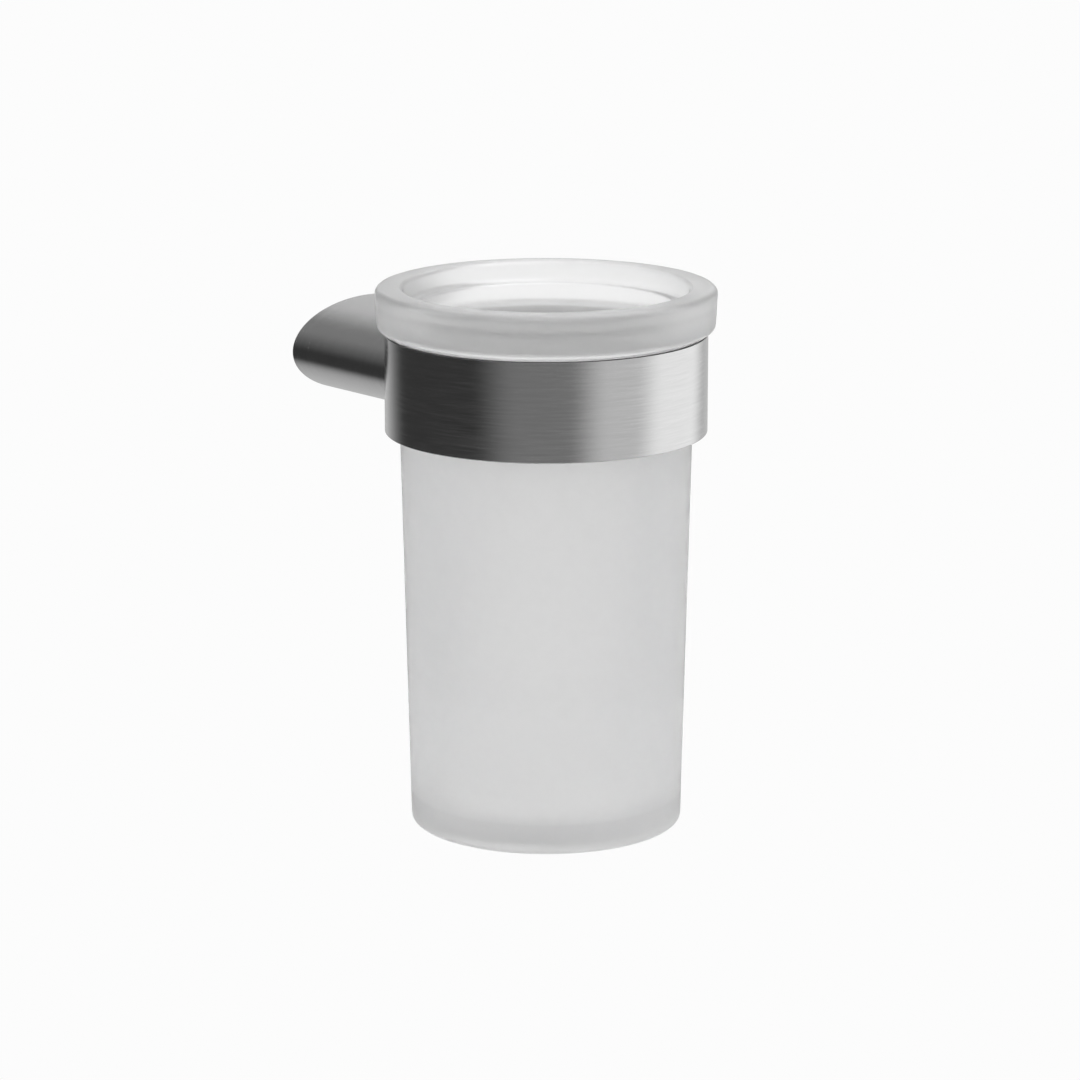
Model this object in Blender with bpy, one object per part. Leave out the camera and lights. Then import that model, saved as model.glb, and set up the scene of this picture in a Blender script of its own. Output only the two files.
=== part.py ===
"""Wall-mounted tumbler holder.

A satin glass tumbler hangs by its collar in a round steel ring. The ring is screwed
to an oval steel sleeve, which slides over a wall plate and is locked from below by a
grub screw. The origin is the middle of the face that lies against the wall. +Z is up
and -Y points away from the wall, into the room. Lengths are in metres.
"""
import math

import bmesh
import bpy
from mathutils import Matrix, Vector

# Clearances
GAP = 0.0003                    # between two pieces that touch or press together
SEAT_CLEARANCE = 0.0003         # from the tumbler's neck to the liner's bore
COLLAR_GAP = 0.00056            # from the ring's top to the collar, seen as a dark line
OVERRUN = 0.004                 # how far a cutter runs past the surface it opens

# Tumbler
NECK_RADIUS = 0.03226           # outside of the glass just below its collar
BODY_DRAFT = 0.00255            # how much the radius shrinks from the neck to the foot
BODY_LENGTH = 0.10958           # collar's underside down to the foot
GLASS_WALL = 0.0044
BASE_THICKNESS = 0.0062
FOOT_ROUND = 0.00124
PUNT_DEPTH = 0.0008             # shallow hollow under the foot
PUNT_RADIUS_SHARE = 0.84        # of the foot's radius
FLOOR_ROUND = 0.0022            # inside corner at the bottom of the bore
COLLAR_OVERHANG = 0.00154       # how far the collar stands out past the ring
COLLAR_HEIGHT = 0.00942
COLLAR_FLARE = 0.0005           # how much the collar widens up to its lip
COLLAR_WALL = 0.00554           # from the collar's foot radius in to the mouth at the lip
COLLAR_ROUND = 0.00154          # lower outside corner of the collar
NECK_ROUND = 0.0012             # inside corner between the body and the collar's underside
LIP_ROUND = 0.0015              # upper outside corner of the collar
MOUTH_ROUND = 0.0009            # upper inside corner of the collar
MOUTH_DEPTH = 0.00428           # lip down to the ledge above the bore
MOUTH_DRAFT = 0.0006            # how much the mouth narrows from the lip to the ledge
LEDGE_ROUND = 0.001             # where the mouth's wall meets the ledge
BORE_ROUND = 0.0006             # where the ledge meets the bore

# Ring and its liner
LINER_WALL = 0.00064
RING_WALL = 0.0015
RING_HEIGHT = 0.02162
RING_RISE = 0.00019             # ring's middle above the sleeve's middle
RING_EDGE = 0.00025             # small round on the ring's outer edges
RING_CHAMFER = 0.00042          # upper inside edge, clear of the glass's rounded corner
RING_FOOT_LIP = 0.0015          # height of the inner lip that the liner stands on

# Sleeve, core block and wall plate
ARM_LENGTH = 0.02767            # wall to the nearest point of the ring
SLEEVE_HALF_WIDTH = 0.02121
SLEEVE_HALF_HEIGHT = 0.01065
SLEEVE_WALL = 0.002
SLEEVE_EDGE = 0.00035           # chamfer on the sleeve's edge at the wall
PLATE_THICKNESS = 0.008
PLATE_EDGE = 0.0004
WALL_HOLE_RADIUS = 0.0023
WALL_SINK_RADIUS = 0.0043       # mouth of the countersink for a wall screw
WALL_HOLE_PLACE_SHARE = 0.58    # of the plate's half width

# Screws that hold the ring, M3 countersunk, and the M4 grub screw
SCREW_RADIUS = 0.0015
SCREW_HEAD_RADIUS = 0.0028
SCREW_HEAD_RIM = 0.0001
SCREW_LENGTH = 0.0115
SCREW_TIP = 0.0004
SCREW_SINK = 0.0001             # head below the ring's bore
SCREW_SOCKET_RADIUS = 0.00115   # hexagon's corner
SCREW_SOCKET_DEPTH = 0.0009
SCREW_PLACE_SHARE = 0.5         # of the core's half height
GRUB_RADIUS = 0.002
GRUB_LENGTH = 0.005
GRUB_TIP = 0.0005
GRUB_SINK = 0.0003              # screw's end inside the sleeve's surface
GRUB_SOCKET_RADIUS = 0.00115
GRUB_SOCKET_DEPTH = 0.002
GRUB_PLACE_SHARE = 0.5          # of the plate's thickness

# How finely the round forms are divided
TURN_STEPS = 72
OVAL_STEPS = 72
SCREW_STEPS = 24
CORNER_STEPS = 4
HEXAGON = 6
SHARP_ANGLE = math.radians(32)
MERGE_SHARE = 0.01              # of the gap; nearer points become one
TOWARDS_WALL = (-math.pi / 2, 0, 0)

# Sizes that follow from the ones above
FOOT_RADIUS = NECK_RADIUS - BODY_DRAFT
RING_LIP_RADIUS = NECK_RADIUS + SEAT_CLEARANCE
LINER_RADIUS = RING_LIP_RADIUS + LINER_WALL
RING_BORE = LINER_RADIUS + GAP
RING_RADIUS = RING_BORE + RING_WALL
COLLAR_RADIUS = RING_RADIUS + COLLAR_OVERHANG
REACH = ARM_LENGTH + RING_RADIUS
RING_TOP = RING_RISE + RING_HEIGHT / 2
RING_FOOT = RING_TOP - RING_HEIGHT
COLLAR_SEAT = RING_TOP + COLLAR_GAP
CORE_HALF_WIDTH = SLEEVE_HALF_WIDTH - SLEEVE_WALL - GAP
CORE_HALF_HEIGHT = SLEEVE_HALF_HEIGHT - SLEEVE_WALL - GAP


def clear_scene():
    """Remove every object of the open file."""
    for item in list(bpy.data.objects):
        bpy.data.objects.remove(item, do_unlink=True)


def finish(name, colour, roughness, metallic, transmission=0.0):
    """A plain material with the piece's colour and gloss."""
    made = bpy.data.materials.new(name)
    made.use_nodes = True
    shader = made.node_tree.nodes["Principled BSDF"]
    shader.inputs["Base Color"].default_value = (*colour, 1.0)
    shader.inputs["Roughness"].default_value = roughness
    shader.inputs["Metallic"].default_value = metallic
    shader.inputs["Transmission Weight"].default_value = transmission
    made.diffuse_color = (*colour, 1.0)
    return made


def round_corners(corners):
    """Points of an outline whose corners (x, z, radius) are rounded by arcs."""
    points = []
    last = len(corners) - 1
    for index, (x, z, radius) in enumerate(corners):
        corner = Vector((x, z))
        if radius == 0 or index in (0, last):
            points.append(corner)
            continue
        before = Vector(corners[index - 1][:2]) - corner
        after = Vector(corners[index + 1][:2]) - corner
        half = before.angle(after) / 2
        room = min(before.length, after.length) / 2
        reach = min(radius / math.tan(half), room)
        radius = reach * math.tan(half)
        before.normalize()
        after.normalize()
        middle = corner + (before + after).normalized() * (radius / math.sin(half))
        start = corner + before * reach - middle
        turn = start.angle_signed(corner + after * reach - middle)
        for step in range(CORNER_STEPS + 1):
            arm = start.copy()
            arm.rotate(Matrix.Rotation(-turn * step / CORNER_STEPS, 2))
            points.append(middle + arm)
    return points


def put(name, mesh_builder, look, parent=None, place=(0, 0, 0), turn=(0, 0, 0)):
    """Store a finished bmesh as a named object with its material."""
    bmesh.ops.recalc_face_normals(mesh_builder, faces=mesh_builder.faces)
    mesh = bpy.data.meshes.new(name)
    mesh_builder.to_mesh(mesh)
    mesh_builder.free()
    mesh.shade_smooth()
    mesh.set_sharp_from_angle(angle=SHARP_ANGLE)
    item = bpy.data.objects.new(name, mesh)
    bpy.context.scene.collection.objects.link(item)
    item.location = place
    item.rotation_euler = turn
    item.parent = parent
    if look is None:
        item.hide_render = True
        item.display_type = "WIRE"
    else:
        mesh.materials.append(look)
    return item


def turned(points, steps, closed):
    """Spin an outline in the XZ plane round the Z axis; a closed one makes a ring."""
    shape = bmesh.new()
    line = [shape.verts.new((point[0], 0, point[1])) for point in points]
    edges = [shape.edges.new(pair) for pair in zip(line, line[1:])]
    if closed:
        edges.append(shape.edges.new((line[-1], line[0])))
    bmesh.ops.spin(
        shape, geom=line + edges, cent=(0, 0, 0), axis=(0, 0, 1),
        angle=math.tau, steps=steps, use_merge=True, use_duplicate=False)
    bmesh.ops.remove_doubles(shape, verts=shape.verts, dist=GAP * MERGE_SHARE)
    bmesh.ops.dissolve_degenerate(shape, edges=shape.edges, dist=GAP * MERGE_SHARE)
    return shape


def oval(sections, hollow):
    """Loft oval sections (half width, half height, y) along Y; a hollow one closes on itself."""
    shape = bmesh.new()
    angles = [math.tau * step / OVAL_STEPS for step in range(OVAL_STEPS)]
    half_width, half_height, y = sections[0]
    first = [shape.verts.new((half_width * math.cos(a), y, half_height * math.sin(a))) for a in angles]
    loop = [shape.edges.new((first[i], first[(i + 1) % OVAL_STEPS])) for i in range(OVAL_STEPS)]
    first_loop = loop
    for next_width, next_height, next_y in sections[1:]:
        grown = bmesh.ops.extrude_edge_only(shape, edges=loop)["geom"]
        loop = [part for part in grown if isinstance(part, bmesh.types.BMEdge)]
        for vert in [part for part in grown if isinstance(part, bmesh.types.BMVert)]:
            vert.co.x *= next_width / half_width
            vert.co.z *= next_height / half_height
            vert.co.y = next_y
        half_width, half_height = next_width, next_height
    if hollow:
        bmesh.ops.bridge_loops(shape, edges=first_loop + loop)
    else:
        bmesh.ops.contextual_create(shape, geom=first_loop)
        bmesh.ops.contextual_create(shape, geom=loop)
    return shape


def prism(corners, radius, low, high):
    """An upright prism or cylinder round the Z axis."""
    shape = bmesh.new()
    bmesh.ops.create_cone(
        shape, cap_ends=True, segments=corners, radius1=radius, radius2=radius, depth=high - low)
    bmesh.ops.translate(shape, verts=shape.verts, vec=(0, 0, (high + low) / 2))
    return shape


def cut(item, cutter):
    """Take one cutter's shape out of a piece."""
    tool = item.modifiers.new("cut_" + cutter.name, "BOOLEAN")
    tool.operation = "DIFFERENCE"
    tool.solver = "EXACT"
    tool.object = cutter


def make_tumbler(look, axis):
    """Glass tumbler: tapered body, collar that rests on the ring, ledge inside the mouth."""
    foot = -BODY_LENGTH
    floor = foot + BASE_THICKNESS
    ledge = COLLAR_HEIGHT - MOUTH_DEPTH
    mouth = COLLAR_RADIUS - COLLAR_WALL
    bore_top = NECK_RADIUS - GLASS_WALL
    bore_foot = FOOT_RADIUS - GLASS_WALL
    punt = FOOT_RADIUS * PUNT_RADIUS_SHARE
    outline = round_corners([
        (0, foot + PUNT_DEPTH, 0),
        (punt, foot + PUNT_DEPTH, 0),
        (punt + PUNT_DEPTH, foot, 0),
        (FOOT_RADIUS, foot, FOOT_ROUND),
        (NECK_RADIUS, 0, NECK_ROUND),
        (COLLAR_RADIUS, 0, COLLAR_ROUND),
        (COLLAR_RADIUS + COLLAR_FLARE, COLLAR_HEIGHT, LIP_ROUND),
        (mouth, COLLAR_HEIGHT, MOUTH_ROUND),
        (mouth - MOUTH_DRAFT, ledge, LEDGE_ROUND),
        (bore_top, ledge, BORE_ROUND),
        (bore_foot, floor, FLOOR_ROUND),
        (0, floor, 0),
    ])
    return put("tumbler", turned(outline, TURN_STEPS, False), look, axis, (0, 0, COLLAR_SEAT))


def make_ring(look, axis, screw_holes):
    """Steel band with an inner lip at its foot and two countersunk holes on the wall side."""
    outline = round_corners([
        (RING_BORE, RING_TOP - RING_CHAMFER, 0),
        (RING_BORE + RING_CHAMFER, RING_TOP, 0),
        (RING_RADIUS, RING_TOP, RING_EDGE),
        (RING_RADIUS, RING_FOOT, RING_EDGE),
        (RING_LIP_RADIUS, RING_FOOT, 0),
        (RING_LIP_RADIUS, RING_FOOT + RING_FOOT_LIP, 0),
        (RING_BORE, RING_FOOT + RING_FOOT_LIP, 0),
    ])
    ring = put("holder_ring", turned(outline, TURN_STEPS, True), look, axis)
    for hole in screw_holes:
        cut(ring, hole)
    return ring


def make_liner(look, axis):
    """Thin plastic sleeve that keeps the glass off the steel; it stands on the ring's lip."""
    low = RING_FOOT + RING_FOOT_LIP + GAP
    high = RING_TOP - RING_CHAMFER
    outline = [
        (RING_LIP_RADIUS, high),
        (LINER_RADIUS, high),
        (LINER_RADIUS, low),
        (RING_LIP_RADIUS, low),
    ]
    return put("ring_liner", turned(outline, TURN_STEPS, True), look, axis)


def make_sleeve(look, cope, grub_hole):
    """Oval tube from the wall to the ring, its end shaped to the ring."""
    inner_width = SLEEVE_HALF_WIDTH - SLEEVE_WALL
    inner_height = SLEEVE_HALF_HEIGHT - SLEEVE_WALL
    sleeve = put("bracket_sleeve", oval([
        (inner_width, inner_height, 0),
        (SLEEVE_HALF_WIDTH - SLEEVE_EDGE, SLEEVE_HALF_HEIGHT - SLEEVE_EDGE, 0),
        (SLEEVE_HALF_WIDTH, SLEEVE_HALF_HEIGHT, -SLEEVE_EDGE),
        (SLEEVE_HALF_WIDTH, SLEEVE_HALF_HEIGHT, -REACH),
        (inner_width, inner_height, -REACH),
    ], True), look)
    cut(sleeve, cope)
    cut(sleeve, grub_hole)
    return sleeve


def make_core(look, cope, screw_holes):
    """Block fixed in the sleeve that takes the ring's screws."""
    core = put("core_block", oval([
        (CORE_HALF_WIDTH, CORE_HALF_HEIGHT, -PLATE_THICKNESS - GAP),
        (CORE_HALF_WIDTH, CORE_HALF_HEIGHT, -REACH),
    ], False), look)
    cut(core, cope)
    for hole in screw_holes:
        cut(core, hole)
    return core


def make_plate(look, grub_hole):
    """Wall plate inside the sleeve's end, with two countersunk holes for wall screws."""
    plate = put("wall_plate", oval([
        (CORE_HALF_WIDTH, CORE_HALF_HEIGHT, 0),
        (CORE_HALF_WIDTH, CORE_HALF_HEIGHT, -PLATE_THICKNESS + PLATE_EDGE),
        (CORE_HALF_WIDTH - PLATE_EDGE, CORE_HALF_HEIGHT - PLATE_EDGE, -PLATE_THICKNESS),
    ], False), look)
    cut(plate, grub_hole)
    sink = WALL_SINK_RADIUS - WALL_HOLE_RADIUS
    outline = [
        (0, -OVERRUN),
        (WALL_SINK_RADIUS, -OVERRUN),
        (WALL_SINK_RADIUS, 0),
        (WALL_HOLE_RADIUS, sink),
        (WALL_HOLE_RADIUS, PLATE_THICKNESS + OVERRUN),
        (0, PLATE_THICKNESS + OVERRUN),
    ]
    for side, name in ((-1, "left"), (1, "right")):
        place = (side * CORE_HALF_WIDTH * WALL_HOLE_PLACE_SHARE, -PLATE_THICKNESS, 0)
        shape = turned(outline, SCREW_STEPS, False)
        cut(plate, put("wall_hole_" + name, shape, None, None, place, TOWARDS_WALL))
    return plate


def countersunk(grow, start, tip):
    """Outline of a countersunk screw from its head down, swollen by grow for its hole."""
    cone = SCREW_HEAD_RADIUS - SCREW_RADIUS
    return [
        (0, start),
        (SCREW_HEAD_RADIUS + grow, start),
        (SCREW_HEAD_RADIUS + grow, SCREW_HEAD_RIM),
        (SCREW_RADIUS + grow, SCREW_HEAD_RIM + cone),
        (SCREW_RADIUS + grow, SCREW_LENGTH + grow - tip),
        (SCREW_RADIUS + grow - tip, SCREW_LENGTH + grow),
        (0, SCREW_LENGTH + grow),
    ]


def screw_places():
    """Where the heads of the two ring screws lie, one above the other."""
    y = RING_BORE + SCREW_SINK - REACH
    z = CORE_HALF_HEIGHT * SCREW_PLACE_SHARE
    return (("upper", (0, y, z)), ("lower", (0, y, -z)))


def make_screw_holes():
    """Cutters for the two ring screws; they open the ring and the core alike."""
    outline = countersunk(GAP, -OVERRUN, 0)
    return [
        put("screw_hole_" + name, turned(outline, SCREW_STEPS, False), None, None, place, TOWARDS_WALL)
        for name, place in screw_places()
    ]


def make_ring_screws(look):
    """Two countersunk screws, driven from inside the ring into the core."""
    for name, place in screw_places():
        shape = turned(countersunk(0, 0, SCREW_TIP), SCREW_STEPS, False)
        screw = put("ring_screw_" + name, shape, look, None, place, TOWARDS_WALL)
        hexagon = prism(HEXAGON, SCREW_SOCKET_RADIUS, -OVERRUN, SCREW_SOCKET_DEPTH)
        cut(screw, put("screw_socket_" + name, hexagon, None, None, place, TOWARDS_WALL))


def make_grub_screw(look):
    """Grub screw that locks the sleeve to the wall plate from below."""
    place = (0, -PLATE_THICKNESS * GRUB_PLACE_SHARE, GRUB_SINK - SLEEVE_HALF_HEIGHT)
    outline = [
        (0, 0),
        (GRUB_RADIUS - GRUB_TIP, 0),
        (GRUB_RADIUS, GRUB_TIP),
        (GRUB_RADIUS, GRUB_LENGTH - GRUB_TIP),
        (GRUB_RADIUS - GRUB_TIP, GRUB_LENGTH),
        (0, GRUB_LENGTH),
    ]
    screw = put("grub_screw", turned(outline, SCREW_STEPS, False), look, None, place)
    hexagon = prism(HEXAGON, GRUB_SOCKET_RADIUS, -OVERRUN, GRUB_SOCKET_DEPTH)
    cut(screw, put("grub_socket", hexagon, None, None, place))
    hole = prism(SCREW_STEPS, GRUB_RADIUS + GAP, -OVERRUN, GRUB_LENGTH + GAP)
    return put("grub_hole", hole, None, None, place)


def main():
    clear_scene()
    steel = finish("brushed_stainless", (0.50, 0.50, 0.50), 0.28, 1.0)
    glass = finish("satin_glass", (0.86, 0.88, 0.88), 0.55, 0.0, 0.6)
    soft = finish("clear_polyethylene", (0.85, 0.86, 0.86), 0.45, 0.0, 0.3)
    cast = finish("cast_aluminium", (0.55, 0.55, 0.56), 0.5, 1.0)
    screw = finish("stainless_screw", (0.55, 0.55, 0.54), 0.32, 1.0)

    axis = bpy.data.objects.new("ring_axis", None)
    bpy.context.scene.collection.objects.link(axis)
    axis.location = (0, -REACH, 0)

    tall = SLEEVE_HALF_HEIGHT + OVERRUN
    cope = put("ring_cope", prism(TURN_STEPS, RING_RADIUS + GAP, -tall, tall), None, axis)
    screw_holes = make_screw_holes()
    grub_hole = make_grub_screw(screw)

    make_tumbler(glass, axis)
    make_ring(steel, axis, screw_holes)
    make_liner(soft, axis)
    make_sleeve(steel, cope, grub_hole)
    make_core(cast, cope, screw_holes)
    make_plate(cast, grub_hole)
    make_ring_screws(screw)


main()
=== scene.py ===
# %% [markdown]
# # A tumbler holder for the bathroom wall
#
# A satin glass tumbler hangs by its collar in a brushed steel ring, and a short oval
# sleeve carries the ring on the wall. The engineering model already says where every
# piece is. This lesson gives the pieces their fine shapes and their finishes, and then
# puts them in a white studio.

# %% The engineering model
import math

import bmesh
import bpy
from mathutils import Matrix, Vector


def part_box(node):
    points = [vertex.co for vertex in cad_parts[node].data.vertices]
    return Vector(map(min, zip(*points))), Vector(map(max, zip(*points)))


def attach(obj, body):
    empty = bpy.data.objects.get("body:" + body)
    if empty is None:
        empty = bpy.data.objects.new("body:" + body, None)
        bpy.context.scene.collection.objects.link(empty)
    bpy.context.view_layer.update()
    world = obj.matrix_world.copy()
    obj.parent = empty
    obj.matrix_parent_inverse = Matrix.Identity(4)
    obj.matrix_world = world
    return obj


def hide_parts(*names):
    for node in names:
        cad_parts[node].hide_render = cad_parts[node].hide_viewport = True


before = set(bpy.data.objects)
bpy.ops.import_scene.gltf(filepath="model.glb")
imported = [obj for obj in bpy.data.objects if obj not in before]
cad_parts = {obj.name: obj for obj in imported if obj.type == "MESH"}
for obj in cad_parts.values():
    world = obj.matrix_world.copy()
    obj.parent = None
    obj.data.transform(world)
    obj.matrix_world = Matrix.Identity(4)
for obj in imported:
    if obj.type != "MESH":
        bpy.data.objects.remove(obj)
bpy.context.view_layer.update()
print("nodes:", sorted(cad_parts))

# %% [markdown]
# ## Sizes
#
# A size could be typed in again, but then the two models would drift apart. So the
# main sizes are read from the boxes of the engineering solids, and only what a box
# can't tell is written here, in millimetres: walls, gaps and the radii of corners.

# %% Sizes read from the solids
MM = 0.001
ring_low, ring_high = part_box("holder_ring")
sleeve_low, sleeve_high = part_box("bracket_sleeve")
glass_low, glass_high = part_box("tumbler")
liner_low, liner_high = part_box("ring_liner")

AXIS = Vector((0, (ring_low.y + ring_high.y) / 2, 0))
RING_RADIUS = (ring_high.x - ring_low.x) / 2
LINER_RADIUS = (liner_high.x - liner_low.x) / 2
SLEEVE_HALF_WIDTH = (sleeve_high.x - sleeve_low.x) / 2
SLEEVE_HALF_HEIGHT = (sleeve_high.z - sleeve_low.z) / 2
print("ring radius", round(RING_RADIUS / MM, 2), "mm, axis at y", round(AXIS.y / MM, 2), "mm")

# %% [markdown]
# ## The camera
#
# The camera comes first, because every later choice is judged through it. Its lens is
# long, so the round forms hardly taper. It stands to the left of the holder and looks
# down a little, which shows the mouth as a flat ellipse.

# %% The camera
SENSOR = 36.0                   # width of the picture in the camera, mm
LENS = 140.62                   # focal length, mm
CAMERA_TURN = math.radians(40.8)        # round the ring's axis, away from straight on
CAMERA_PITCH = math.radians(13.476)     # looking down
CAMERA_AWAY = 896.4 * MM        # level distance from the ring's axis
CAMERA_ASIDE = -1.34 * MM       # off the line to that axis; below zero is to the left
CAMERA_HEIGHT = 179.49 * MM     # above the sleeve's axis

camera_data = bpy.data.cameras.new("camera")
camera_data.sensor_width = SENSOR
camera_data.lens = LENS
camera = bpy.data.objects.new("camera", camera_data)
bpy.context.scene.collection.objects.link(camera)
camera.rotation_euler = (math.pi / 2 - CAMERA_PITCH, 0, -CAMERA_TURN)
camera.location = AXIS + Matrix.Rotation(-CAMERA_TURN, 3, "Z") @ Vector(
    (CAMERA_ASIDE, -CAMERA_AWAY, CAMERA_HEIGHT))
bpy.context.scene.camera = camera
print("camera at", [round(place, 4) for place in camera.location])

# %% [markdown]
# ## Turning round forms
#
# The ring, its liner and the tumbler are all turned forms. Each could be a stack of
# cylinders, but one outline spun round the axis gives a single clean wall. The outline
# is drawn with sharp corners, and a vertex bevel rounds each one with its own radius
# before the spin, so every curve stays one plain number.

# %% Turned forms
TURN_STEPS = 256
CORNER_STEPS = 6
CLOSE = 0.001 * MM              # points nearer than this become one


def turned(corners, closed, steps=TURN_STEPS):
    """Spin an outline of (radius, height, corner radius) round the Z axis."""
    shape = bmesh.new()
    line = [shape.verts.new((radius, 0, height)) for radius, height, _ in corners]
    for start, end in zip(line, line[1:]):
        shape.edges.new((start, end))
    if closed:
        shape.edges.new((line[-1], line[0]))
    for vert, (_, _, corner_radius) in zip(line, corners):
        if corner_radius:
            bmesh.ops.bevel(
                shape, geom=[vert], offset=corner_radius, offset_type="OFFSET",
                affect="VERTICES", segments=CORNER_STEPS, profile=0.5, material=-1,
                clamp_overlap=False)
    bmesh.ops.spin(
        shape, geom=shape.verts[:] + shape.edges[:], cent=(0, 0, 0), axis=(0, 0, 1),
        angle=math.tau, steps=steps, use_merge=True)
    bmesh.ops.remove_doubles(shape, verts=shape.verts, dist=CLOSE)
    bmesh.ops.recalc_face_normals(shape, faces=shape.faces)
    return shape


print("a turned form has", TURN_STEPS, "steps round its axis")

# %% [markdown]
# ## Oval forms
#
# The sleeve is an oval tube, drawn and then cut to length. A circle squeezed to an
# ellipse is extruded from one section to the next. At the ring the tube isn't cut
# square: it is coped, so that its end follows the ring's round wall. Moving the last
# loop of points onto that wall gives the cope without any cutting.

# %% Oval forms
OVAL_STEPS = 256


def coped(radius):
    """An end that follows a cylinder of this radius round the ring's axis: its y for a point's x."""
    return lambda x: AXIS.y + math.sqrt(radius ** 2 - x ** 2)


def square(y):
    """An end that is cut square: the same y for every x."""
    return lambda x: y


def oval_tube(sections):
    """Loft ellipses of (half width, half height, end) along Y, and the last one to the first."""
    shape = bmesh.new()
    loop = bmesh.ops.create_circle(shape, cap_ends=False, segments=OVAL_STEPS, radius=1)["verts"]
    bmesh.ops.rotate(shape, verts=loop, cent=(0, 0, 0), matrix=Matrix.Rotation(math.pi / 2, 3, "X"))
    first_edges = shape.edges[:]
    edges = first_edges
    width, height = 1, 1
    for number, (next_width, next_height, end) in enumerate(sections):
        if number > 0:
            grown = bmesh.ops.extrude_edge_only(shape, edges=edges)["geom"]
            edges = [part for part in grown if isinstance(part, bmesh.types.BMEdge)]
            loop = [part for part in grown if isinstance(part, bmesh.types.BMVert)]
        bmesh.ops.scale(shape, verts=loop, vec=(next_width / width, 1, next_height / height))
        for vert in loop:
            vert.co.y = end(vert.co.x)
        width, height = next_width, next_height
    bmesh.ops.bridge_loops(shape, edges=first_edges + edges)
    bmesh.ops.recalc_face_normals(shape, faces=shape.faces)
    return shape


print("an oval has", OVAL_STEPS, "points")

# %% [markdown]
# ## Holes
#
# Screw holes are drilled into finished pieces on the bench, and a Boolean does the
# same here. The cutters are removed at once, so nothing but the drilled piece is left.

# %% Drilling
HOLE_STEPS = 48
OVERRUN = 4 * MM                # how far a cutter runs past the surface it opens


def as_object(name, shape):
    """Store a bmesh as an object at the origin."""
    mesh = bpy.data.meshes.new(name)
    shape.to_mesh(mesh)
    shape.free()
    item = bpy.data.objects.new(name, mesh)
    bpy.context.scene.collection.objects.link(item)
    return item


def drilled(shape, cutters):
    """The shape with every cutter's shape taken out of it."""
    item = as_object("blank", shape)
    tools = [as_object("cutter", cutter) for cutter in cutters]
    for tool in tools:
        cut = item.modifiers.new("drill", "BOOLEAN")
        cut.operation = "DIFFERENCE"
        cut.solver = "EXACT"
        cut.object = tool
    result = bmesh.new()
    result.from_object(item, bpy.context.evaluated_depsgraph_get())
    for used in (item, *tools):
        bpy.data.objects.remove(used)
    print("holes drilled:", len(tools))
    return result


# %% [markdown]
# ## Keeping a finished piece
#
# Every finished piece rides on a body of the engineering model, so it moves with it,
# and stands for the solid that it replaces. Its faces are shaded smooth, which hides
# the flats of a round wall. Corners sharper than 35 degrees stay crisp. A piece can
# have two finishes, and each of its faces then says which of them it wears.

# %% Keeping a finished piece
SHARP = math.radians(35)
MAIN_FINISH = 0
SECOND_FINISH = 1


def keep(name, shape, body, node):
    """Store a finished shape as the piece that stands for a node and rides on its body."""
    piece = as_object(name, shape)
    piece.data.shade_smooth()
    piece.data.set_sharp_from_angle(angle=SHARP)
    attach(piece, body)
    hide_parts(node)
    piece.data.calc_loop_triangles()
    print(name, len(piece.data.loop_triangles), "triangles")
    return piece


# %% [markdown]
# ## The ring
#
# The ring is a band of stainless strip, rolled, welded and ground, with a small lip
# inside its foot that the plastic liner stands on. A quarter of a millimetre is eased
# off its edges. Without that the edge is a hard line; with it, the edge catches a
# hair of light, as a real one does. Two countersunk holes take the screws.

# %% The cutter for a screw's hole
FIT_GAP = 0.3 * MM              # between pieces that touch
SCREW_SHANK_RADIUS = 1.5 * MM
SCREW_HEAD_RIM = 0.1 * MM       # the head's straight edge, above its cone


def screw_hole(node):
    """Cutter for the countersunk hole of a screw that points at the wall."""
    low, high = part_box(node)
    head = (high.x - low.x) / 2
    cutter = turned([
        (0, -OVERRUN, 0),
        (head + FIT_GAP, -OVERRUN, 0),
        (head + FIT_GAP, SCREW_HEAD_RIM, 0),
        (SCREW_SHANK_RADIUS + FIT_GAP, SCREW_HEAD_RIM + head - SCREW_SHANK_RADIUS, 0),
        (SCREW_SHANK_RADIUS + FIT_GAP, high.y - low.y + FIT_GAP, 0),
        (0, high.y - low.y + FIT_GAP, 0),
    ], False, steps=HOLE_STEPS)
    bmesh.ops.rotate(
        cutter, verts=cutter.verts, cent=(0, 0, 0), matrix=Matrix.Rotation(-math.pi / 2, 3, "X"))
    bmesh.ops.translate(cutter, verts=cutter.verts, vec=(0, low.y, (low.z + high.z) / 2))
    print(node, "needs a hole", round((head + FIT_GAP) * 2 / MM, 2), "mm wide at its head")
    return cutter


# %% [markdown]
# The ring's top is flat, and its outer strip lies under the glass collar. That strip
# gets a finish of its own later, a dark colour of painted shade for the gap, so its
# faces are marked here.

# %% The ring
LINER_WALL = 0.64 * MM
RING_EDGE = 0.25 * MM
RING_CHAMFER = ring_high.z - liner_high.z       # the liner ends below it
RING_FOOT_LIP = 1.5 * MM
RING_BORE = LINER_RADIUS + FIT_GAP
LIP_BORE = LINER_RADIUS - LINER_WALL
# the outer strip of the top is painted dark later, as shade in the gap under the collar
TOP_STRIP = 0.6 * MM            # width of the outer strip of the ring's top
LOOKS_UP = 0.5                  # a face looks up if its normal rises more than this

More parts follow.
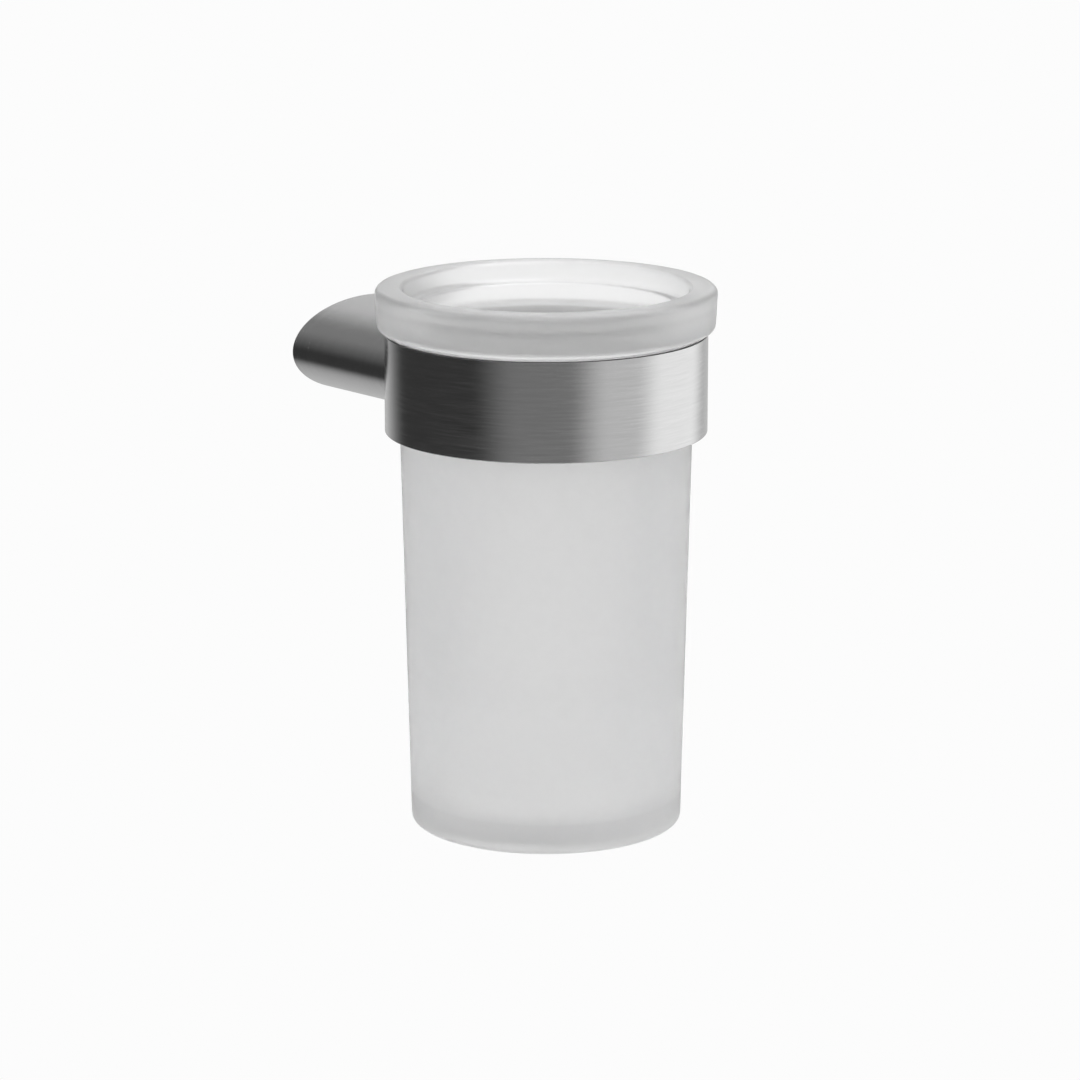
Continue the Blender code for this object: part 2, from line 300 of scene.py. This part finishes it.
ring_shape = turned([
    (RING_BORE, ring_high.z - RING_CHAMFER, 0),
    (RING_BORE + RING_CHAMFER, ring_high.z, 0),
    (RING_RADIUS - TOP_STRIP, ring_high.z, 0),
    (RING_RADIUS, ring_high.z, RING_EDGE),
    (RING_RADIUS, ring_low.z, RING_EDGE),
    (LIP_BORE, ring_low.z, 0),
    (LIP_BORE, ring_low.z + RING_FOOT_LIP, 0),
    (RING_BORE, ring_low.z + RING_FOOT_LIP, 0),
], True)
bmesh.ops.translate(ring_shape, verts=ring_shape.verts, vec=AXIS)
ring_shape = drilled(ring_shape, [screw_hole("ring_screw_upper"), screw_hole("ring_screw_lower")])
# faces on the outer strip of the top get the dark colour of painted shade
for face in ring_shape.faces:
    outer = (face.calc_center_median() - AXIS).xy.length > RING_RADIUS - TOP_STRIP
    in_painted_shade = outer and face.normal.z > LOOKS_UP
    face.material_index = SECOND_FINISH if in_painted_shade else MAIN_FINISH
ring = keep("brushed_ring", ring_shape, "holder", "holder_ring")

# %% [markdown]
# ## The liner
#
# A thin sleeve of soft plastic keeps the glass off the steel, so that the tumbler
# doesn't ring or chip when it is put back. A plain tube would have the right size,
# but a moulded part always has a small radius at its edges, so it is turned from an
# outline like the ring, with every corner rounded.

# %% The liner
LINER_EDGE = 0.2 * MM

liner_shape = turned([
    (LIP_BORE, liner_high.z, LINER_EDGE),
    (LINER_RADIUS, liner_high.z, LINER_EDGE),
    (LINER_RADIUS, liner_low.z, LINER_EDGE),
    (LIP_BORE, liner_low.z, LINER_EDGE),
], True)
bmesh.ops.translate(liner_shape, verts=liner_shape.verts, vec=AXIS)
liner = keep("plastic_liner", liner_shape, "holder", "ring_liner")

# %% [markdown]
# ## The tumbler
#
# The tumbler is pressed glass: a tapered body, a heavy foot and a thick collar that
# rests on the ring. The collar has a ledge inside its mouth. A single skin would look
# like paper, because glass shows the inner wall as much as the outer one. So both are
# modelled, with the real thickness between them, and the light then does the rest.

# %% The tumbler's sizes
NECK_RADIUS = 32.26 * MM
BODY_DRAFT = 2.55 * MM          # how much the radius shrinks from the neck to the foot
GLASS_WALL = 4.4 * MM
BASE_THICKNESS = 6.2 * MM
FOOT_ROUND = 1.24 * MM
PUNT_DEPTH = 0.8 * MM           # shallow hollow under the foot
PUNT_SHARE = 0.84               # of the foot's radius
FLOOR_ROUND = 2.2 * MM
COLLAR_GAP = 0.56 * MM          # from the ring's top to the collar
COLLAR_OVERHANG = 1.54 * MM
COLLAR_FLARE = 0.5 * MM
COLLAR_WALL = 5.54 * MM
COLLAR_ROUND = 1.54 * MM
NECK_ROUND = 1.2 * MM           # under the collar
LIP_ROUND = 1.5 * MM
MOUTH_ROUND = 0.9 * MM
MOUTH_DEPTH = 4.28 * MM
MOUTH_DRAFT = 0.6 * MM          # how much the mouth narrows down to the ledge
LEDGE_ROUND = 1.0 * MM
BORE_ROUND = 0.6 * MM

foot_radius = NECK_RADIUS - BODY_DRAFT
collar_radius = RING_RADIUS + COLLAR_OVERHANG
mouth_radius = collar_radius - COLLAR_WALL
seat = ring_high.z + COLLAR_GAP
lip = glass_high.z
foot = glass_low.z
ledge = lip - MOUTH_DEPTH
print("glass", round((lip - foot) / MM, 2), "mm tall, its collar starts",
      round(collar_radius * 2 / MM, 2), "mm wide")

# %% [markdown]
# The outline runs from the middle of the foot, up the outside, over the lip and down
# the inside to the floor. The glass is etched more finely inside than outside, so the
# faces nearer to the axis than the middle of the wall are marked as the inside.

# %% The tumbler
def mid_wall(height):
    """Radius of the middle of the wall at a height."""
    if height >= ledge:
        return mouth_radius + MOUTH_ROUND / 2
    return NECK_RADIUS - GLASS_WALL / 2 - BODY_DRAFT * (seat - height) / (seat - foot)


glass_shape = turned([
    (0, foot + PUNT_DEPTH, 0),
    (foot_radius * PUNT_SHARE, foot + PUNT_DEPTH, 0),
    (foot_radius * PUNT_SHARE + PUNT_DEPTH, foot, 0),
    (foot_radius, foot, FOOT_ROUND),
    (NECK_RADIUS, seat, NECK_ROUND),
    (collar_radius, seat, COLLAR_ROUND),
    (collar_radius + COLLAR_FLARE, lip, LIP_ROUND),
    (mouth_radius, lip, MOUTH_ROUND),
    (mouth_radius - MOUTH_DRAFT, ledge, LEDGE_ROUND),
    (NECK_RADIUS - GLASS_WALL, ledge, BORE_ROUND),
    (foot_radius - GLASS_WALL, foot + BASE_THICKNESS, FLOOR_ROUND),
    (0, foot + BASE_THICKNESS, 0),
], False)
for face in glass_shape.faces:
    middle = face.calc_center_median()
    inside = middle.xy.length < mid_wall(middle.z) and middle.z > foot + BASE_THICKNESS / 2
    face.material_index = SECOND_FINISH if inside else MAIN_FINISH
bmesh.ops.translate(glass_shape, verts=glass_shape.verts, vec=AXIS)
tumbler = keep("satin_tumbler", glass_shape, "tumbler", "tumbler")

# %% [markdown]
# ## The sleeve
#
# The sleeve is an oval tube that hides the wall plate and the block behind the ring.
# A solid bar would look the same from the front, but from behind its wall shows round
# the plate, so it is hollow. A small hole underneath lets the key reach the grub screw
# that locks it. The end at the wall is eased a little.

# %% The sleeve
SLEEVE_WALL = 2 * MM
SLEEVE_EDGE = 0.35 * MM
inner_width = SLEEVE_HALF_WIDTH - SLEEVE_WALL
inner_height = SLEEVE_HALF_HEIGHT - SLEEVE_WALL
cope = coped(RING_RADIUS + FIT_GAP)

sleeve_shape = oval_tube([
    (inner_width, inner_height, square(0)),
    (SLEEVE_HALF_WIDTH - SLEEVE_EDGE, SLEEVE_HALF_HEIGHT - SLEEVE_EDGE, square(0)),
    (SLEEVE_HALF_WIDTH, SLEEVE_HALF_HEIGHT, square(-SLEEVE_EDGE)),
    (SLEEVE_HALF_WIDTH, SLEEVE_HALF_HEIGHT, cope),
    (inner_width, inner_height, cope),
])

grub_low, grub_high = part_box("grub_screw")
grub_middle = (grub_low + grub_high) / 2
hole_radius = (grub_high.x - grub_low.x) / 2 + FIT_GAP
hole = bmesh.new()
bmesh.ops.create_cone(
    hole, cap_ends=True, segments=HOLE_STEPS, radius1=hole_radius, radius2=hole_radius,
    depth=2 * OVERRUN)
bmesh.ops.translate(hole, verts=hole.verts, vec=(grub_middle.x, grub_middle.y, sleeve_low.z))
sleeve_shape = drilled(sleeve_shape, [hole])
sleeve = keep("oval_sleeve", sleeve_shape, "holder", "bracket_sleeve")

# %% [markdown]
# ## Writing a material
#
# Light is counted in linear values, but a colour picker shows sRGB ones, which are
# easier to read and to compare with a picture. So colours are written as sRGB, and
# one function turns them into linear values.

# %% Colours
def linear(colour):
    """Linear RGBA of an sRGB hex colour."""
    parts = [int(colour[place:place + 2], 16) / 255 for place in (1, 3, 5)]
    curve = [part / 12.92 if part <= 0.04045 else ((part + 0.055) / 1.055) ** 2.4 for part in parts]
    return (*curve, 1)


def grey(level):
    """A neutral colour of a given linear brightness."""
    return (level, level, level, 1)


print("middle grey is", round(linear("#808080")[0], 3), "in linear light")

# %% [markdown]
# A node tree could be wired by hand, one line per socket, but the same three steps
# repeat for every node: make it, set it, link it. One small function does them. Each
# finish starts from one Principled shader, and a piece gets its finishes in order.

# %% Nodes and finishes
MIX_SHARE, MIX_FIRST, MIX_SECOND = 0, 6, 7      # inputs of a Mix node for colours
MIX_RESULT = 2                                  # and its output


def add(tree, kind, inputs=None, stops=(), **settings):
    """Add a node with its settings; an input takes a value or an output, a ramp its stops."""
    node = tree.nodes.new(kind)
    for name, value in settings.items():
        setattr(node, name, value)
    for name, value in (inputs or {}).items():
        if isinstance(value, bpy.types.NodeSocket):
            tree.links.new(value, node.inputs[name])
        else:
            node.inputs[name].default_value = value
    if stops:
        elements = node.color_ramp.elements
        elements.remove(elements[1])
        elements[0].position, elements[0].color = stops[0]
        for place, colour in stops[1:]:
            elements.new(place).color = colour
    return node


def finish_for(name, inputs):
    """A new material whose Principled shader has these inputs; gives it, its tree and the shader."""
    made = bpy.data.materials.new(name)
    made.use_nodes = True
    tree = made.node_tree
    tree.nodes.clear()
    shader = add(tree, "ShaderNodeBsdfPrincipled", inputs)
    add(tree, "ShaderNodeOutputMaterial", {"Surface": shader.outputs["BSDF"]})
    return made, tree, shader


def coat(item, made):
    """Give a piece one more finish."""
    item.data.materials.append(made)
    print(item.name, "wears", made.name, "of", len(made.node_tree.nodes), "nodes")


# %% [markdown]
# ## Unevenness
#
# No real surface has one colour and one gloss all over. A noise of a real size, in
# millimetres, drives both a little. It is laid out in the piece's own coordinates, so
# it stays on the piece when the piece moves.

# %% Unevenness
NOISE_LOW = 0.3                 # a noise seldom leaves the range between these two
NOISE_HIGH = 0.7
NOISE_DETAIL = 3.0              # finer noises laid over the first one
NOISE_ROUGHNESS = 0.6           # how much the finer ones show


def uneven(tree, size):
    """Noise with marks of this size along x, y and z."""
    place = add(tree, "ShaderNodeTexCoord").outputs["Object"]
    scaled = add(tree, "ShaderNodeMapping", {"Vector": place, "Scale": [1 / length for length in size]})
    noise = add(tree, "ShaderNodeTexNoise", {
        "Vector": scaled.outputs["Vector"], "Scale": 1.0, "Detail": NOISE_DETAIL,
        "Roughness": NOISE_ROUGHNESS})
    return noise.outputs["Fac"]


def vary(tree, shader, noise, colours, roughness):
    """Let a noise drive the shader's colour and roughness between two of each; gives both outputs."""
    ramp = add(tree, "ShaderNodeValToRGB", {"Fac": noise}, stops=[
        (NOISE_LOW, linear(colours[0])), (NOISE_HIGH, linear(colours[1]))])
    spread = add(tree, "ShaderNodeMapRange", {
        "Value": noise, "From Min": NOISE_LOW, "From Max": NOISE_HIGH,
        "To Min": roughness[0], "To Max": roughness[1]})
    tree.links.new(ramp.outputs["Color"], shader.inputs["Base Color"])
    tree.links.new(spread.outputs["Result"], shader.inputs["Roughness"])
    return ramp.outputs["Color"], spread.outputs["Result"]


print("noise is used from", NOISE_LOW, "to", NOISE_HIGH)

# %% [markdown]
# ## Brushed stainless steel
#
# The ring is ground with a fine belt while it turns, so its scratches run round it.
# Each scratch is far finer than a pixel. Together they spread a reflection across the
# grain, which the anisotropic setting does, and a few coarser ones show as faint
# streaks, which a stretched noise does. The noise is stretched in level directions,
# so its streaks run round the ring and no seam can show. The sleeve is ground round
# its own axis in the same way.

# %% Brushed steel
STREAK_LENGTH = 10 * MM
STREAK_WIDTH = 0.42 * MM        # a real scratch is a tenth of this, too fine to show
GRAIN_STRENGTH = 0.4            # how far the grain stretches a reflection
ACROSS_THE_GRAIN = 0.25         # of a full turn


def brushed_steel(name, streak, axis):
    """Stainless steel with its grain round an axis: silver, with soft bands of light."""
    made, tree, shader = finish_for(name, {
        "Metallic": 1.0, "Anisotropic": GRAIN_STRENGTH, "Anisotropic Rotation": ACROSS_THE_GRAIN})
    vary(tree, shader, uneven(tree, streak), colours=("#C6C6C6", "#CDCDCD"), roughness=(0.15, 0.26))
    around = add(tree, "ShaderNodeTangent", direction_type="RADIAL", axis=axis)
    tree.links.new(around.outputs["Tangent"], shader.inputs["Tangent"])
    return made


coat(ring, brushed_steel(
    "brushed_stainless_ring", (STREAK_LENGTH, STREAK_LENGTH, STREAK_WIDTH), "Z"))
coat(sleeve, brushed_steel(
    "brushed_stainless_sleeve", (STREAK_LENGTH, STREAK_WIDTH, STREAK_LENGTH), "Y"))

# %% [markdown]
# The outer strip of the ring's top gets a dark, dull steel colour. That is painted
# shade: it gives the thin dark line of the shadow in the gap between the glass and the
# steel. The real shadow in the gap would hardly show, because so much light comes
# through the glass.

# %% The ring's top, painted shade
DARK_STRIP_MARK = 0.08 * MM        # size of the faint marks in the strip's dark colour

# painted shade: a dark steel colour on the strip stands for the shadow in the gap under the collar
made, tree, shader = finish_for("painted_shade_ring_top", {"Metallic": 1.0})
noise = uneven(tree, (STREAK_LENGTH, STREAK_LENGTH, DARK_STRIP_MARK))
vary(tree, shader, noise, colours=("#4C4C4C", "#545454"), roughness=(0.38, 0.42))
coat(ring, made)

# %% [markdown]
# ## Satin glass
#
# The tumbler is clear soda-lime glass that has been dipped in an acid bath. The bath
# etches it into tiny pits, and light that crosses them scatters, so what lies behind
# becomes a soft glow. A see-through white could be painted on, but it would look like
# plastic. The real thing is plain refraction with a high roughness, and a share of
# the light comes back as from a white surface. The index is a little below the 1.52
# of clear glass, because the pits let the light in by degrees.
#
# The etch isn't the same all the way up, so a table gives it by height. The long thin
# wall is etched most, and the thick collar and the solid foot more finely. The foot's
# corner and the lip let less light through and look whiter: a painted highlight on those
# edges. The step in the table lies where the solid foot ends, and gives the darker band at
# the bottom, painted shade for the inside floor behind the wall. Two soft grey bands of
# painted shade round the collar stand for the ledge inside it, and a painted dark hairline
# runs round the lip's outer corner, the shade where the glass turns edge on to the light.

# %% How the etch and the painted light change with height
GLASS_INDEX = 1.4
# the painted shade of the darker band at the bottom ends at this line
FLOOR_LINE = foot + 6.9 * MM    # where the inside floor shows through the wall
LINE_SOFTNESS = 0.15 * MM

# height, roughness, share of the light that passes (less at the foot's corner and the
# lip, a painted highlight), tint: the glass's tone with painted shade in it
ETCH_AND_PAINTED_LIGHT = [
    # the foot's corner lets less light through, a painted highlight; up to the floor line the darker
    # tint is painted shade
    (foot + 1.6 * MM, 0.4, 0.60, 0.92),
    (foot + 2.8 * MM, 0.4, 0.90, 0.92),
    (FLOOR_LINE - LINE_SOFTNESS, 0.6, 0.90, 0.92),
    (FLOOR_LINE + LINE_SOFTNESS, 0.9, 0.72, 1.00),
    (foot + 12.0 * MM, 0.9, 0.75, 1.00),
    # the tone grows darker higher up the body
    (foot + 24.0 * MM, 0.9, 0.84, 0.94),
    (foot + 35.0 * MM, 0.9, 0.84, 0.89),
    (seat - 7.2 * MM, 0.9, 0.84, 0.89),
    (seat, 0.5, 0.96, 1.00),
    (lip - 5.0 * MM, 0.5, 0.96, 1.00),
    # two soft bands of painted shade for the ledge inside the collar
    (lip - 3.6 * MM, 0.5, 0.96, 0.93),
    (lip - 2.9 * MM, 0.5, 0.88, 1.00),
    (lip - 2.1 * MM, 0.5, 0.88, 1.00),
    (lip - 1.3 * MM, 0.5, 0.96, 0.96),
    (lip - 0.8 * MM, 0.5, 0.96, 1.00),
    # a painted dark hairline on the lip's outer corner, then a whiter lip, a painted highlight
    (lip - 0.25 * MM, 0.5, 0.96, 0.82),
    (lip, 0.5, 0.70, 1.00),
]
print("etch given at", len(ETCH_AND_PAINTED_LIGHT), "heights")

# %% [markdown]
# Outside, three ramps read the table by height, one for each of its columns. The
# blotches that every etched surface has are multiplied onto the first and the last.

# %% Satin glass, outside
ETCH_BLOTCH = 3 * MM            # width of the faint patches that the acid leaves
PIT_SPREAD = (0.98, 1.02)       # the roughness changes by 2% from patch to patch

made, tree, shader = finish_for("satin_soda_lime_glass", {"IOR": GLASS_INDEX})
blotches, pits = vary(
    tree, shader, uneven(tree, (ETCH_BLOTCH,) * 3), colours=("#FCFCFC", "#FFFFFF"), roughness=PIT_SPREAD)
place = add(tree, "ShaderNodeTexCoord").outputs["Object"]
height = add(tree, "ShaderNodeSeparateXYZ", {"Vector": place}).outputs["Z"]
share = add(tree, "ShaderNodeMapRange", {
    "Value": height, "From Min": foot, "From Max": lip}).outputs["Result"]
levels, *columns = zip(*ETCH_AND_PAINTED_LIGHT)
etched, passed, tone_and_painted_shade = [
    add(tree, "ShaderNodeValToRGB", {"Fac": share}, stops=[
        ((level - foot) / (lip - foot), grey(value)) for level, value in zip(levels, column)
    ]).outputs["Color"]
    for column in columns]
roughness = add(tree, "ShaderNodeMath", {0: etched, 1: pits}, operation="MULTIPLY")
# the blotches times the tone, with its painted shade
colour = add(tree, "ShaderNodeMix", {
    MIX_SHARE: 1.0, MIX_FIRST: blotches, MIX_SECOND: tone_and_painted_shade}, data_type="RGBA", blend_type="MULTIPLY")
tree.links.new(roughness.outputs["Value"], shader.inputs["Roughness"])
tree.links.new(passed, shader.inputs["Transmission Weight"])
tree.links.new(colour.outputs[MIX_RESULT], shader.inputs["Base Color"])
coat(tumbler, made)

# %% [markdown]
# Inside, the etch is finer and much the same at every height, so no table is needed.
# The mouth looks clearer and brighter than the wall around it, and the ledge keeps a
# crisp edge.

# %% Satin glass, inside
CLEAR_SHARE = 0.9               # of the light passes; the rest comes back white

made, tree, shader = finish_for("finely_etched_soda_lime_glass", {
    "IOR": GLASS_INDEX, "Transmission Weight": CLEAR_SHARE})
noise = uneven(tree, (ETCH_BLOTCH,) * 3)
vary(tree, shader, noise, colours=("#FDFDFD", "#FFFFFF"), roughness=(0.28, 0.32))
coat(tumbler, made)

# %% [markdown]
# ## Soft plastic
#
# The liner is moulded polyethylene, milky and dull, so it looks like a pale shadow
# inside the ring. Its surface is as even as its mould, so the noise on it is faint.

# %% Soft plastic
PLASTIC_INDEX = 1.5
MOULD_MARK = 1.5 * MM           # flow marks of the plastic in its mould

made, tree, shader = finish_for("moulded_polyethylene", {"IOR": PLASTIC_INDEX})
noise = uneven(tree, (MOULD_MARK,) * 3)
vary(tree, shader, noise, colours=("#FAFAFA", "#FFFFFF"), roughness=(0.56, 0.64))
coat(liner, made)

# %% [markdown]
# ## Hidden metal
#
# The block and the wall plate are pressure-cast aluminium, left as they leave the
# mould: grey, dull and a little grainy. They keep their engineering solids, which are
# right as they are, and only get a better finish. A smooth grey would look like paint,
# so the grain that changes the colour also lifts the surface a little.

# %% Cast aluminium
CAST_GRAIN = 0.6 * MM           # texture of the steel mould
CAST_DEPTH = 0.02 * MM


def refinish(nodes, made):
    """Give the engineering model's own solids another finish."""
    for node in nodes:
        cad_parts[node].data.materials.clear()
        coat(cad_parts[node], made)


made, tree, shader = finish_for("die_cast_aluminium", {"Metallic": 1.0})
noise = uneven(tree, (CAST_GRAIN,) * 3)
vary(tree, shader, noise, colours=("#909090", "#A6A6A7"), roughness=(0.45, 0.58))
relief = add(tree, "ShaderNodeBump", {"Height": noise, "Distance": CAST_DEPTH})
tree.links.new(relief.outputs["Normal"], shader.inputs["Normal"])
refinish(("core_block", "wall_plate"), made)

# %% [markdown]
# The screws are turned from stainless bar. They can be seen only from behind or
# through the glass, but they are brighter than the cast block all the same.

# %% Turned screws
SCREW_MARK = 0.25 * MM          # chatter of the tool on a screw head

made, tree, shader = finish_for("turned_stainless_screw", {"Metallic": 1.0})
noise = uneven(tree, (SCREW_MARK,) * 3)
vary(tree, shader, noise, colours=("#B6B6B6", "#C6C6C6"), roughness=(0.26, 0.34))
refinish(("ring_screw_upper", "ring_screw_lower", "grub_screw"), made)

# %% [markdown]
# ## The studio
#
# Steel has no colour of its own to show: what we see on it is the room. The room could
# be built from panels and lamps, but painting it by direction gives soft, even light
# and takes a few stretches for each part. Seen from the holder, a dark curtain hangs to
# the camera's left. A soft panel stands to its right, with a window beside it. The wall
# behind the holder is pale. Above the wall comes the ceiling. A softbox overhead lights
# the right side and the back, and leaves the left side dim. Below the wall the ground
# is pale, darker towards the camera and brighter under the window.

# %% What the room looks like
# a stretch runs from one bearing to another, in degrees, 0 towards the camera and + to
# its right, at one level of light; from one stretch to the next the light blends softly
WALLS = [
    (-180, -162, 0.60),     # the pale wall behind the holder
    (-120, -55, 0.05),      # the curtain
    (-20, 15, 0.25),        # the dim end of the room, behind the camera
    (45, 65, 0.75),         # the panel
    (90, 125, 1.25),        # the window
    (150, 180, 0.60),       # the pale wall again
]
CEILING = [
    (-180, -178, 0.70),     # over the pale wall
    (-145, -130, 0.30),     # in the corner
    (-105, -40, 0.18),      # over the curtain
    (90, 150, 0.90),        # over the window
    (175, 180, 0.70),       # over the pale wall again
]
GROUND = [
    (-180, -70, 0.60),
    (-30, 20, 0.40),        # towards the camera
    (70, 130, 0.80),        # under the window
    (175, 180, 0.60),
]
SOFTBOX = [
    (-180, -178, 4.0),
    (-160, -10, 0.20),      # past the softbox's edge
    (40, 180, 4.0),
]
# the rise of a direction, -1 straight down and 1 straight up, at which a part begins to
# show and at which it shows in full; its stretches
PARTS = [
    (0.0, 0.6, CEILING),
    (-0.38, -0.73, GROUND),
    (0.62, 0.8, SOFTBOX),
]
print("the room has a wall and", len(PARTS), "other parts")

# %% [markdown]
# The background has to be plain white, and more light would only burn out the glass. So
# rays from the camera, also those that go on through the glass, see plain white at a
# strength of 1, and all others see the studio. Dull surfaces gather light from all
# round, so they get one even level, at which a colour looks about as it was written.

# %% The studio
WHITE = linear("#FCFCFC")
EVEN_LIGHT = 0.9                # what dull surfaces see


def white_where_seen(tree, light, kind):
    """White of a kind of node for rays from the camera, and the given light for all others."""
    seen = add(tree, "ShaderNodeLightPath").outputs
    direct = add(tree, "ShaderNodeMath", {
        0: seen["Is Camera Ray"], 1: seen["Is Transmission Ray"]}, operation="MAXIMUM")
    white = add(tree, kind, {"Color": WHITE})
    mixed = add(tree, "ShaderNodeMixShader", {
        0: direct.outputs[0], 1: light, 2: white.outputs[0]})
    return mixed.outputs[0]


world = bpy.data.worlds.new("studio")
bpy.context.scene.world = world
world.use_nodes = True
world.cycles.sampling_method = "NONE"   # so soft a light needs no map of its bright spots
tree = world.node_tree
tree.nodes.clear()
direction = add(tree, "ShaderNodeTexCoord").outputs["Generated"]
rise = add(tree, "ShaderNodeSeparateXYZ", {"Vector": direction}).outputs["Z"]
facing = add(tree, "ShaderNodeMapping", {
    "Vector": direction, "Rotation": (0, 0, math.pi / 2 + CAMERA_TURN)})
bearing = add(tree, "ShaderNodeTexGradient", {
    "Vector": facing.outputs["Vector"]}, gradient_type="RADIAL").outputs["Fac"]


def painted(stretches):
    """The light of one part of the room, by bearing."""
    ramp = add(tree, "ShaderNodeValToRGB", {"Fac": bearing}, stops=[
        (0.5 + degrees / 360, grey(level))
        for start, end, level in stretches for degrees in (start, end)])
    ramp.color_ramp.interpolation = "EASE"
    return ramp.outputs["Color"]


room = painted(WALLS)
for begins, full, stretches in PARTS:
    shown = add(tree, "ShaderNodeMapRange", {
        "Value": rise, "From Min": begins, "From Max": full}, interpolation_type="SMOOTHSTEP")
    room = add(tree, "ShaderNodeMix", {
        MIX_SHARE: shown.outputs["Result"], MIX_FIRST: room, MIX_SECOND: painted(stretches)},
        data_type="RGBA").outputs[MIX_RESULT]
dull = add(tree, "ShaderNodeLightPath").outputs["Is Diffuse Ray"]
even = add(tree, "ShaderNodeBackground", {"Color": grey(EVEN_LIGHT)})
studio = add(tree, "ShaderNodeBackground", {"Color": room})
lit = add(tree, "ShaderNodeMixShader", {0: dull, 1: studio.outputs[0], 2: even.outputs[0]})
add(tree, "ShaderNodeOutputWorld", {
    "Surface": white_where_seen(tree, lit.outputs[0], "ShaderNodeBackground")})
print("studio of", len(tree.nodes), "nodes")

# %% [markdown]
# ## The floor
#
# The holder hangs on a wall, so the floor is about a metre below it. It is a plain pale
# sheet, too far down for a shadow to show.

# %% The floor
FLOOR_DROP = 1.0                # m
FLOOR_SIZE = 1.8                # m
FLOOR_PAINT = "#D6D6D6"         # matt emulsion: it sends up soft light and no gloss

floor_shape = bmesh.new()
bmesh.ops.create_grid(floor_shape, x_segments=1, y_segments=1, size=FLOOR_SIZE / 2)
bmesh.ops.translate(floor_shape, verts=floor_shape.verts, vec=(0, 0, -FLOOR_DROP))
floor = as_object("pale_floor", floor_shape)
floor_paint = bpy.data.materials.new("pale_studio_floor")
floor_paint.use_nodes = True
tree = floor_paint.node_tree
tree.nodes.clear()
pale = add(tree, "ShaderNodeBsdfDiffuse", {"Color": linear(FLOOR_PAINT)})
add(tree, "ShaderNodeOutputMaterial", {
    "Surface": white_where_seen(tree, pale.outputs[0], "ShaderNodeEmission")})
coat(floor, floor_paint)

# %% [markdown]
# ## The last step
#
# The view transform is set to Standard, so a colour comes out as it was written.

# %% Finish
bpy.context.scene.view_settings.view_transform = "Standard"
